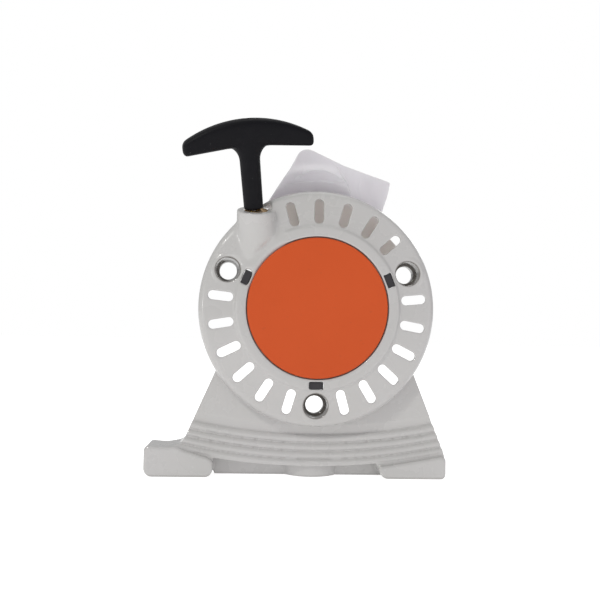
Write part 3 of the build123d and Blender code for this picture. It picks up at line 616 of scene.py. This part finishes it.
# ------------------------------------------------------------------ air guide
# Places are (x, z) seen from the front, in mm from the rotor's axis.
GUIDE_VOXEL = 0.55
CLEAR_R = (79.4, 87.4)           # in front of the cover's wall the sheet stays flat
OUTLINE_R = (92.0, 103.0)        # the bulge and the creases fade out towards the guide's outline
OUTLINE_FADE = 0.9
LOBE = (-3.0, 91.0)              # middle of the bulge
LOBE_SIZE = (20.0, 10.0)
LOBE_RISE = 5.0
FOLD = ((10.5, 104.0), (15.7, 93.5), (20.5, 86.0), (24.5, 76.0), (25.5, 70.0))
FOLD_STEP = 1.3                  # the sheet left of the fold stands this much in front
FOLD_HALF = 0.9                  # half width of the step
PANEL_FLAT = 0.85                # share of the bulge that the panel right of the fold loses
CREASES = (                      # height and width of a ridge, and its course
    (0.95, 0.60, ((-15.5, 89.0), (-6.0, 94.2), (3.0, 95.6), (10.0, 93.2), (18.0, 88.5))),
    (0.80, 0.55, ((-23.0, 84.6), (-10.0, 86.2), (2.0, 87.4), (10.0, 86.4), (19.0, 88.0))),
    (0.70, 0.50, ((-22.5, 83.0), (-17.0, 78.0), (-9.0, 75.4))),
    (0.95, 0.50, ((12.5, 98.5), (17.0, 92.8), (20.6, 87.0), (22.0, 82.0), (24.0, 76.5))),
    (0.60, 0.60, ((-13.0, 104.0), (-10.0, 98.0), (-11.5, 90.0))),
    (0.22, 0.60, ((30.0, 92.0), (29.0, 84.0), (32.0, 74.0))),
)


def path_distance(points, path):
    """Distance of 2-D points from a chain of lines, and the side of it that they lie on."""
    best = np.full(len(points), np.inf)
    side = np.zeros(len(points))
    for start, end in zip(path, path[1:]):
        start = np.array(start)
        step = np.array(end) - start
        share = np.clip((points - start) @ step / (step @ step), 0, 1)
        gap = points - start - share[:, None] * step
        away_from = np.hypot(gap[:, 0], gap[:, 1])
        nearer = away_from < best
        cross = step[0] * gap[:, 1] - step[1] * gap[:, 0]
        best = np.where(nearer, away_from, best)
        side = np.where(nearer, np.sign(cross), side)
    return best, side


def make_air_guide():
    """The guide's sheet, bulged on its left, folded to a flat panel and creased like film."""
    guide = remeshed_node("milky_air_guide", "air_guide", GUIDE_VOXEL * MM, 2)
    points = read_points(guide)
    front = points[:, [0, 2]] / MM
    radius = np.hypot(front[:, 0], front[:, 1])
    outside = smooth_step(radius, *CLEAR_R) * (1 - OUTLINE_FADE * smooth_step(radius, *OUTLINE_R))
    lobe = np.exp(-(((front - LOBE) / LOBE_SIZE) ** 2).sum(axis=1) / 2) * LOBE_RISE
    distance, side = path_distance(front, FOLD)
    right = smooth_step(side * distance, -FOLD_HALF, FOLD_HALF)
    rise = lobe * (1 - PANEL_FLAT * right) + FOLD_STEP * (1 - right)
    for height, width, path in CREASES:
        distance, _ = path_distance(front, path)
        rise += height * np.exp(-((distance / width) ** 2))
    points[:, 1] -= rise * outside * MM
    write_points(guide, points)
    guide.data.shade_smooth()
    stand_in(guide, "air_guide", "housing")


# ------------------------------------------------------------------ rope
ROPE_R = 1.5 * MM
ROPE_STEP = 0.45 * MM            # between rings of points along the rope
SLIDING_STEP = ROPE_STEP * 1.4   # the same on the sliding rope, when it is fully out
STRANDS = 4                      # bundles of the braid that wind each way
BRAID_PITCH = 7.0 * MM           # one turn of a bundle
BRAID_DEPTH = 0.13               # the grooves between the bundles, as a share of the radius
LAYER = 3.1 * MM                 # between the coil's layers
BEND_BELOW = 26.0 * MM           # the rope bends this far below the stem's base
BEND_R = 9.0 * MM
INSIDE = 12.0 * MM               # the sliding rope starts this far inside the outlet
KNOT_SEAT = 44.0 * MM            # and ends at the knot in the grip
KNOT_STRAND = 0.36               # radius of the knot's strand, as a share of the knot's own
KNOT_HEIGHT = 1.4                # against 3 for its radius
KNOT_POINTS = 120


def transport(centres, closed):
    """Two unit vectors across a path at each of its points, without needless twist."""
    tangents = np.gradient(centres, axis=0)
    if closed:
        tangents = np.roll(centres, -1, axis=0) - np.roll(centres, 1, axis=0)
    tangents /= np.linalg.norm(tangents, axis=1)[:, None]
    first = np.cross(tangents[0], (0, 1, 0) if abs(tangents[0][1]) < 0.9 else (1, 0, 0))
    normals = [first / np.linalg.norm(first)]
    for tangent in tangents[1:]:
        normal = normals[-1] - tangent * (normals[-1] @ tangent)
        normals.append(normal / np.linalg.norm(normal))
    normals = np.array(normals)
    others = np.cross(tangents, normals)
    if closed:
        back = normals[-1] - tangents[0] * (normals[-1] @ tangents[0])
        slip = math.atan2(back @ others[0], back @ normals[0])
        turn = -slip * np.linspace(0, 1, len(centres), endpoint=False)[:, None]
        normals, others = (
            normals * np.cos(turn) + others * np.sin(turn),
            others * np.cos(turn) - normals * np.sin(turn),
        )
    return normals, others


def braid(name, centres, along, closed=False, radius=ROPE_R, around=24):
    """Braided rope round a path; along is each point's place in the rope's own length."""
    centres = np.array(centres, float)
    normals, others = transport(centres, closed)
    turn = round_turn(around)
    phase = FULL_TURN * np.array(along)[:, None] / BRAID_PITCH
    one_way = np.abs(np.cos(STRANDS * turn + phase))
    other_way = np.abs(np.cos(STRANDS * turn - phase))
    swell = radius * (1 - BRAID_DEPTH + BRAID_DEPTH * np.sqrt(one_way * other_way))
    rings = (
        centres[:, None, :]
        + normals[:, None, :] * (swell * np.cos(turn))[:, :, None]
        + others[:, None, :] * (swell * np.sin(turn))[:, :, None]
    )
    faces = ring_faces(len(centres), around, closed)
    return add_mesh(name, rings.reshape(-1, 3), faces)


def path_lengths(centres):
    """Each point's distance from the first one, along the path."""
    steps = np.linalg.norm(np.diff(centres, axis=0), axis=1)
    return np.concatenate([[0], np.cumsum(steps)])


def bent_path(corners, bend_r, step):
    """Evenly spaced points along three corners, with the middle one rounded."""
    start, corner, end = (np.array(c, float) for c in corners)
    before = (start - corner) / np.linalg.norm(start - corner)
    after = (end - corner) / np.linalg.norm(end - corner)
    half = math.acos(np.clip(before @ after, -1, 1)) / 2
    cut = bend_r / math.tan(half)
    middle = (before + after) / np.linalg.norm(before + after)
    centre = corner + middle * bend_r / math.sin(half)
    first = corner + before * cut - centre
    last = corner + after * cut - centre
    sweep = math.acos(np.clip(first @ last / bend_r**2, -1, 1))
    share = np.linspace(0, 1, 40)[:, None]
    arc = first * np.sin((1 - share) * sweep) + last * np.sin(share * sweep)
    chain = np.concatenate([[start], centre + arc / math.sin(sweep), [end]])
    lengths = path_lengths(chain)
    places = np.linspace(0, lengths[-1], max(3, round(lengths[-1] / step)))
    return np.stack([np.interp(places, lengths, chain[:, i]) for i in range(3)], axis=1)


def make_rope_run():
    """From the coil's front row to the outlet, where the sliding rope takes over."""
    run_low, run_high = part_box("rope_run")
    coil_low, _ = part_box("rope_coil")
    start = (run_high.x - ROPE_R, coil_low.y + ROPE_R, run_low.z + ROPE_R)
    bend = stem_base - stem_axis * BEND_BELOW
    end = stem_base - stem_axis * INSIDE
    centres = bent_path((start, bend, end), BEND_R, ROPE_STEP)
    run = braid("rope_to_outlet", centres, path_lengths(centres))
    stand_in(run, "rope_run", "housing")


def make_sliding_rope():
    """Rope that comes out with the grip. It is packed tight at rest and evenly laid when pulled."""
    span = INSIDE + KNOT_SEAT
    table_t = np.linspace(0, 1, 4000)
    table_x = span * table_t + pull_length * (3 * table_t**2 - 2 * table_t**3)
    along = np.arange(0, table_x[-1], SLIDING_STEP)
    share = np.interp(along, table_x, table_t)
    start = np.array(stem_base - stem_axis * INSIDE)
    centres = start + share[:, None] * span * np.array(stem_axis)
    rope = braid("sliding_rope", centres, along, around=16)
    stand_in(rope, "rope_pull")
    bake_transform(rope)


def make_coil():
    """The turns on the rotor: two layers of two rows."""
    low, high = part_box("rope_coil")
    outer = high.x - ROPE_R
    turns = []
    for depth in (low.y + ROPE_R, high.y - ROPE_R):
        for radius in (outer - LAYER, outer):
            length = FULL_TURN * radius
            turn = round_turn(round(length / ROPE_STEP))
            depths = np.full(len(turn), depth)
            centres = np.c_[radius * np.cos(turn), depths, radius * np.sin(turn)]
            along = turn / FULL_TURN * round(length / BRAID_PITCH) * BRAID_PITCH
            turns.append(braid("rope_turn", centres, along, closed=True, around=16))
    stand_in(join(turns, "wound_rope"), "rope_coil", "rotor")


def make_knot(name, node, body, up):
    """Overhand knot drawn tight, lying across the given axis."""
    low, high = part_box(node)
    middle = (low + high) / 2
    size = (high - low).length / math.sqrt(3) / 2
    strand = size * KNOT_STRAND
    turn = round_turn(KNOT_POINTS)
    flat = np.c_[
        np.sin(turn) + 2 * np.sin(2 * turn),
        np.cos(turn) - 2 * np.cos(2 * turn),
        -KNOT_HEIGHT * np.sin(3 * turn),
    ]
    basis = np.array(up.to_track_quat("Z", "Y").to_matrix()).T
    centres = np.array(middle) + flat @ basis * (size - strand) / 3
    along = np.linspace(0, 4 * BRAID_PITCH, KNOT_POINTS, endpoint=False)
    knot = braid(name, centres, along, closed=True, radius=strand)
    stand_in(knot, node, body)


make_cover()
make_grip()
make_air_guide()
make_rope_run()
make_sliding_rope()
make_coil()
make_knot("grip_knot", "handle_knot", "rope_carriage", stem_axis)
make_knot("anchor_knot", "rotor_knot", "rotor", Vector((0, 1, 0)))


# ------------------------------------------------------------------ studio
FLOOR_R = 8.0                            # m
FLOOR_DROP = 0.2                         # mm below the feet
FLOOR_SEEN = 0.75                        # glow of the floor for the camera
FLOOR_GLOW = 0.42                        # and for the part
WORLD_LIGHT = 0.46
LENS = 45.84
CAMERA_AT = (-41.06, -517.28, -16.61)    # mm
CAMERA_AHEAD = (0.0588, 0.9973, 0.0432)
CAMERA_UP = (-0.0231, -0.0419, 0.9989)
LAMPS = {                                # place and size in m, power in W, colour
    "key": ((-0.75, -0.95, 0.95), 0.2, 5.0, (1.0, 1.0, 0.955)),
    "low": ((-1.1, -0.8, 0.05), 0.15, 0.7, (1.0, 1.0, 1.0)),
    "fill": ((1.1, -1.0, 0.2), 1.0, 1.0, (1.0, 0.90, 1.0)),
    "top": ((0.1, 0.1, 1.3), 0.8, 1.5, (1.0, 1.0, 1.0)),
    "back": ((0.5, 1.2, 0.7), 0.9, 3.5, (1.0, 1.0, 1.0)),
}


def by_ray(tree, seen, hidden):
    """Socket that is one value for camera rays and another for the light that falls on things."""
    ray = tree.nodes.new("ShaderNodeLightPath").outputs["Is Camera Ray"]
    span = tree.nodes.new("ShaderNodeMapRange")
    span.inputs["To Min"].default_value = hidden
    span.inputs["To Max"].default_value = seen
    tree.links.new(ray, span.inputs["Value"])
    return span.outputs[0]


def make_floor():
    """Wide white floor just under the feet, with light of its own so that shadows stay faint."""
    low, _ = cad_box
    turn = round_turn(96)
    level = np.full(len(turn), low.z - FLOOR_DROP * MM)
    points = np.c_[FLOOR_R * np.cos(turn), FLOOR_R * np.sin(turn), level]
    floor = add_mesh("studio_floor", points, [tuple(range(len(turn)))], smooth=False)
    look = Look("studio_floor")
    tone = look.mix(look.noise(3), (0.88, 0.88, 0.88), (0.90, 0.90, 0.90))
    glowing = look.done(
        Base_Color=tone,
        Roughness=0.9,
        Specular_IOR_Level=0.1,
        Emission_Color=(1, 1, 1, 1),
        Emission_Strength=by_ray(look.tree, FLOOR_SEEN, FLOOR_GLOW),
    )
    floor.data.materials.append(glowing)


def make_world():
    """White surroundings: the camera sees them brighter than they shine on the object."""
    world = bpy.data.worlds.new("studio")
    world.use_nodes = True
    bpy.context.scene.world = world
    tree = world.node_tree
    background = tree.nodes["Background"]
    background.inputs["Color"].default_value = (1, 1, 1, 1)
    tree.links.new(by_ray(tree, 1.0, WORLD_LIGHT), background.inputs["Strength"])


def make_lamp(name, place, size, power, colour):
    """Round area light that looks at the origin."""
    light = bpy.data.lights.new(name, "AREA")
    light.shape = "DISK"
    light.size = size
    light.energy = power
    light.color = colour
    lamp = bpy.data.objects.new(name, light)
    lamp.location = place
    lamp.rotation_mode = "QUATERNION"
    lamp.rotation_quaternion = (-lamp.location).to_track_quat("-Z", "Y")
    bpy.context.scene.collection.objects.link(lamp)


def make_camera():
    """Looks slightly up and to the right at the cover from just left of its middle."""
    camera = bpy.data.objects.new("camera", bpy.data.cameras.new("camera"))
    camera.data.lens = LENS
    camera.data.sensor_width = 36
    ahead = Vector(CAMERA_AHEAD).normalized()
    up = Vector(CAMERA_UP)
    up = (up - ahead * up.dot(ahead)).normalized()
    turned = Matrix((ahead.cross(up), up, -ahead)).transposed().to_4x4()
    camera.matrix_world = Matrix.Translation(Vector(CAMERA_AT) * MM) @ turned
    bpy.context.scene.collection.objects.link(camera)
    bpy.context.scene.camera = camera


make_floor()
make_world()
for name, settings in LAMPS.items():
    make_lamp(name, *settings)
make_camera()
bpy.context.scene.view_settings.view_transform = "Standard"
